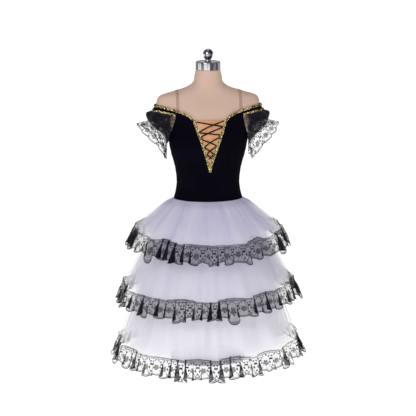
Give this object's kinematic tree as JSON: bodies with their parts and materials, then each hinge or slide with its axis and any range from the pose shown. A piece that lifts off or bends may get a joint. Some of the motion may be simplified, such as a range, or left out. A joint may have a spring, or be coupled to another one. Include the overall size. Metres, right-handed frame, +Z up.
{
  "type": "ballet dress on dress form",
  "caption": "Romantic ballet dress with black bodice, laced V, lace sleeves and tiered tulle skirt, on a limbless dress form.",
  "frame": {"origin": "middle of the foot plate's underside, on the floor", "axes": "+Z up, the front of the dress faces -Y, +X is the wearer's left"},
  "size_m": [0.777, 0.7916, 1.2569],
  "materials": {
    "form_skin": "smooth flesh-toned jersey cover",
    "chrome": "polished",
    "enamel": "smooth white enamel",
    "velvet": "blue-black stretch velvet",
    "satin": "copper satin",
    "sequins": "gold sequin braid",
    "cord": "black round cord",
    "elastic": "clear skin-toned elastic",
    "tulle": "soft white tulle",
    "lace": "black floral lace"
  },
  "bodies": {
    "root": {"form_torso": "form_skin", "neck_cap": "chrome", "finial": "chrome", "foot_plate": "enamel", "pole": "chrome", "bodice_front_L": "velvet", "bodice_front_R": "velvet", "bodice_back": "velvet", "vee_insert": "satin", "vee_trim_L": "sequins", "vee_trim_R": "sequins", "neck_trim_L": "sequins", "neck_trim_R": "sequins", "neck_trim_back": "sequins", "lacing_A": "cord", "lacing_B": "cord", "strap_L": "elastic", "strap_R": "elastic", "sleeve_band_L": "velvet", "sleeve_band_R": "velvet", "sleeve_trim_top_L": "sequins", "sleeve_trim_top_R": "sequins", "sleeve_trim_low_L": "sequins", "sleeve_trim_low_R": "sequins", "sleeve_puff_L": "lace", "sleeve_puff_R": "lace", "sleeve_ruffle_L": "lace", "sleeve_ruffle_R": "lace", "tier_upper": "tulle", "tier_middle": "tulle", "tier_hem": "tulle", "lace_upper": "lace", "lace_middle": "lace", "lace_hem": "lace"}
  },
  "joints": []
}
